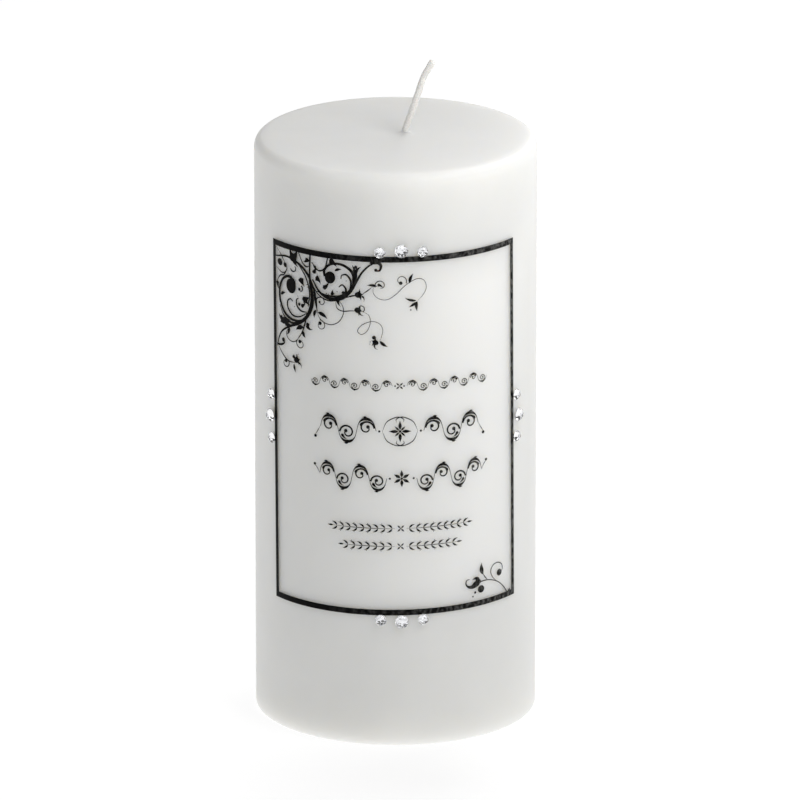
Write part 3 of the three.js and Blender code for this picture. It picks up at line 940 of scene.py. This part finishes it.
    # The tendril along the top.
    p.vine([(22.6, 9.4), (24.6, 8.6), (26.6, 8.3)], 0.20)
    p.bud(26.2, 8.2, -8, 1.9)
    p.comma(27.0, 8.5, 20, 1.9, 0.24, 110)
    p.vine([(27.2, 8.0), (28.6, 7.0), (29.9, 5.9)], 0.15)
    p.leaf(31.2, 5.7, 192, 2.7, 0.36, -16)
    p.curl(32.1, 5.4, 1.55, 160, 300, 0.14, 0.45, 0.0)
    p.comma(31.2, 5.3, 0, 1.9, 0.42, 60)
    p.vine([(30.2, 5.6), (30.2, 7.6), (31.6, 9.0), (33.8, 9.2), (36.0, 7.8), (37.9, 5.9),
            (39.6, 4.6), (41.6, 3.7), (43.3, 4.2), (43.9, 6.2), (43.0, 8.2), (41.6, 9.6)], 0.085)
    p.curl(37.4, 4.1, 1.5, 30, -290, 0.12, 0.45, 0.48)
    p.leaf(39.6, 4.9, -82, 2.8, 0.42, 24)
    p.leaf(41.3, 9.6, 186, 3.1, 0.34, 20)
    p.leaf(41.5, 9.9, 142, 2.6, 0.36, 10)
    p.leaf(41.5, 9.8, 100, 2.7, 0.40, -18)
    p.dot(39.8, 12.1, 0.20)

    # The tendril below it.
    p.vine([(19.9, 10.6), (20.4, 12.4), (22.0, 13.0), (24.2, 12.7), (26.2, 12.6)], 0.14)
    p.bud(26.0, 12.4, 8, 1.8)
    p.curl(26.9, 11.9, 1.0, 60, -200, 0.14, 0.7, 0.0)
    p.comma(26.4, 12.9, 70, 1.7, 0.24, -80)
    p.vine([(27.2, 12.6), (28.9, 13.6), (29.3, 15.6), (28.4, 17.9), (26.9, 18.9), (25.9, 18.0),
            (27.0, 16.4), (29.4, 15.3), (31.4, 15.6), (32.5, 17.2), (32.2, 19.2), (31.8, 20.2)],
           0.085)
    p.bud(30.6, 20.9, 205, 1.6)
    p.dot(30.2, 19.6, 0.52)
    p.leaf(31.7, 20.4, 48, 2.6, 0.42, -20)
    p.comma(30.4, 21.4, 110, 1.9, 0.26, -110)
    p.dot(29.2, 20.8, 0.14)
    p.dot(29.1, 21.4, 0.11)
    p.piece(ink)


def print_sprig(ink):
    """A small sprig in the lower right corner, drawn from the same origin."""
    p = Print("scroll_sprig", CORNER, down=True)
    p.stroke([(68.7, 94.8, 0.16), (67.0, 92.4, 0.14), (64.7, 90.4, 0.12), (61.8, 89.2, 0.12),
              (59.4, 89.0, 0.16), (58.0, 89.4, 0.20)])
    p.vine([(65.2, 90.8), (63.0, 88.9), (62.2, 87.0), (63.0, 85.5), (64.7, 85.1), (66.2, 85.9),
            (66.5, 87.3), (65.8, 88.1)], 0.13)
    p.dot(65.3, 88.0, 0.92)
    p.vine([(61.2, 89.1), (60.2, 88.0), (59.5, 86.8)], 0.14)
    p.leaf(59.6, 87.2, 252, 3.3, 0.62, 22)
    p.stroke([(58.9, 88.9, 0.30), (58.0, 89.0, 0.85), (57.0, 89.6, 0.80), (55.9, 90.0, 0.50),
              (54.8, 89.7, 0.28), (54.2, 88.8, 0.18), (54.5, 87.9, 0.14), (55.3, 87.8, 0.08)])
    p.leaf(58.4, 88.6, 218, 2.3, 0.46, -50)
    p.dot(58.9, 91.1, 1.00, 1.05, 20)
    p.dot(57.0, 91.7, 0.34)
    p.dot(56.3, 92.7, 0.22)
    p.leaf(68.6, 94.6, 315, 1.6, 0.32, 10)
    p.piece(ink)


def running_scroll(p, x0, x1, reach, turns, thin, thick, lean=1.0):
    """A wave of foliage from x0 to x1: round arches to either side of the line, a curl
    inside each and a leaf over each crest. reach is the wave's height on one side."""
    span = (x1 - x0) / turns
    points = []
    for k in range(turns * 8 + 1):
        t = k / 8
        swing = math.sin(math.pi * t)
        arch = math.copysign(abs(swing) ** 0.72, swing)
        points.append((x0 + span * (t - 0.06 * math.sin(2 * math.pi * t)), lean * reach * 0.9 * arch,
                       lerp(thin, thick, abs(swing) ** 3)))
    p.stroke(points, steps=5)
    for k in range(turns):
        side = lean if k % 2 == 0 else -lean
        middle = x0 + span * (k + 0.5)
        radius = min(span * 0.42, reach * 0.60)
        p.curl(middle, side * (reach * 0.80 - radius), radius, 90 + 90 * side, -400 * side,
               thick * 0.62, 0.26, thick * 1.15)
        p.comma(middle + span * 0.30, side * reach * 0.34, 110 * side, reach * 0.62, thick * 0.95,
                60 * side)
        p.leaf(middle - span * 0.04, side * reach * 0.90, 40 * side, reach * 0.36, thick * 0.75,
               -40 * side)


def laurel(p, length, pairs, leaf_length, half):
    """A straight sprig from the origin outwards with leaves in pairs and a bud at its end."""
    p.vine([(0.0, 0.0), (length * 0.35, 0.0), (length * 0.7, 0.0), (length, 0.0)], 0.085)
    for k in range(pairs):
        x = length * (k + 0.4) / pairs
        for side in (-1, 1):
            p.leaf(x, 0.04 * side, 52 * side, leaf_length, half, -34 * side)
        if k % 2:
            p.dot(x + length * 0.45 / pairs, leaf_length * 0.72, 0.11)
            p.dot(x + length * 0.45 / pairs, -leaf_length * 0.72, 0.11)
    p.leaf(length, 0, 0, leaf_length * 0.9, half, 0)


def rosette(p, radius, half, petals, turned=0.0):
    """Petals round the origin, with a dot in the middle."""
    for k in range(petals):
        heading = turned + 360 * k / petals
        a = math.radians(heading)
        p.leaf(0.16 * radius * math.cos(a), 0.16 * radius * math.sin(a), heading,
               radius * 0.84, half, 0)
    p.dot(0, 0, half * 0.8)


def print_dividers(ink):
    """Rows of ornament down the middle of the label: a fine running scroll, two broad
    ones either side of a rosette, and two short rows of laurel."""
    fine = Print("divider_fine", (1.9, 13.9))
    for fine.mirror in (-1.0, 1.0):
        running_scroll(fine, 1.9, 24.4, 1.45, 8, 0.045, 0.20)
        fine.dot(1.15, 0, 0.22)
    fine.mirror = 1.0
    rosette(fine, 1.2, 0.20, 4, 45)

    upper = Print("divider_upper", (1.9, 1.5))
    for upper.mirror in (-1.0, 1.0):
        running_scroll(upper, 6.2, 21.6, 3.6, 3, 0.07, 0.42)
        upper.vine([(21.6, 0.1), (22.6, -1.6), (23.3, -2.6)], 0.10)
        upper.dot(23.2, -2.9, 0.42)
        upper.dot(5.4, 0, 0.30)
        upper.vine([(4.6, 0.0), (3.4, 2.6), (0.8, 3.9), (-0.9, 3.4), (-0.9, 2.5)], 0.13)
        upper.vine([(4.6, 0.0), (3.4, -2.6), (0.8, -3.9), (-0.9, -3.4), (-0.9, -2.5)], 0.13)
    upper.mirror = 1.0
    rosette(upper, 2.9, 0.42, 4)
    rosette(upper, 1.9, 0.26, 4, 45)

    lower = Print("divider_lower", (2.2, -11.4))
    for lower.mirror in (-1.0, 1.0):
        running_scroll(lower, 3.9, 22.3, 3.5, 4, 0.07, 0.38, lean=-1.0)
        lower.vine([(22.3, 0.0), (23.2, 1.5), (23.9, 2.0)], 0.10)
        lower.dot(23.8, 2.3, 0.36)
        lower.dot(3.1, 0, 0.28)
    lower.mirror = 1.0
    rosette(lower, 2.3, 0.40, 6, 90)

    rows = [fine, upper, lower]
    for name, middle, length, pairs in (("divider_laurel_upper", (1.8, -25.1), 16.6, 9),
                                        ("divider_laurel_lower", (1.7, -30.0), 13.6, 7)):
        row = Print(name, middle)
        for row.mirror in (-1.0, 1.0):
            row.origin = (middle[0] + 1.5 * row.mirror, middle[1])
            laurel(row, length, pairs, 1.75, 0.24)
        row.origin = middle
        row.mirror = 1.0
        rosette(row, 1.2, 0.20, 4, 45)
        rows.append(row)
    for row in rows:
        row.piece(ink)


# ------------------------------------------------------------------ carried-over nodes

def finish_cad_nodes():
    """Gives the stones, their foils, the glue and the clip their materials."""
    kinds = {
        "crystal_": (crystal_surface(), "crystal"),
        "foil_": (foil_surface(), "foil"),
        "glue_dot_": (glue_surface(), "glue"),
        "wick_clip": (clip_surface(), "clip"),
    }
    for name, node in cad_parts.items():
        for start, (material, slot) in kinds.items():
            if name.startswith(start):
                node.data.materials.clear()
                node.data.materials.append(material)


make_camera()
make_studio()
make_pillar()
make_wick()
make_film()
ink = ink_surface()
make_border(ink)
print_corner(ink)
print_sprig(ink)
print_dividers(ink)
finish_cad_nodes()
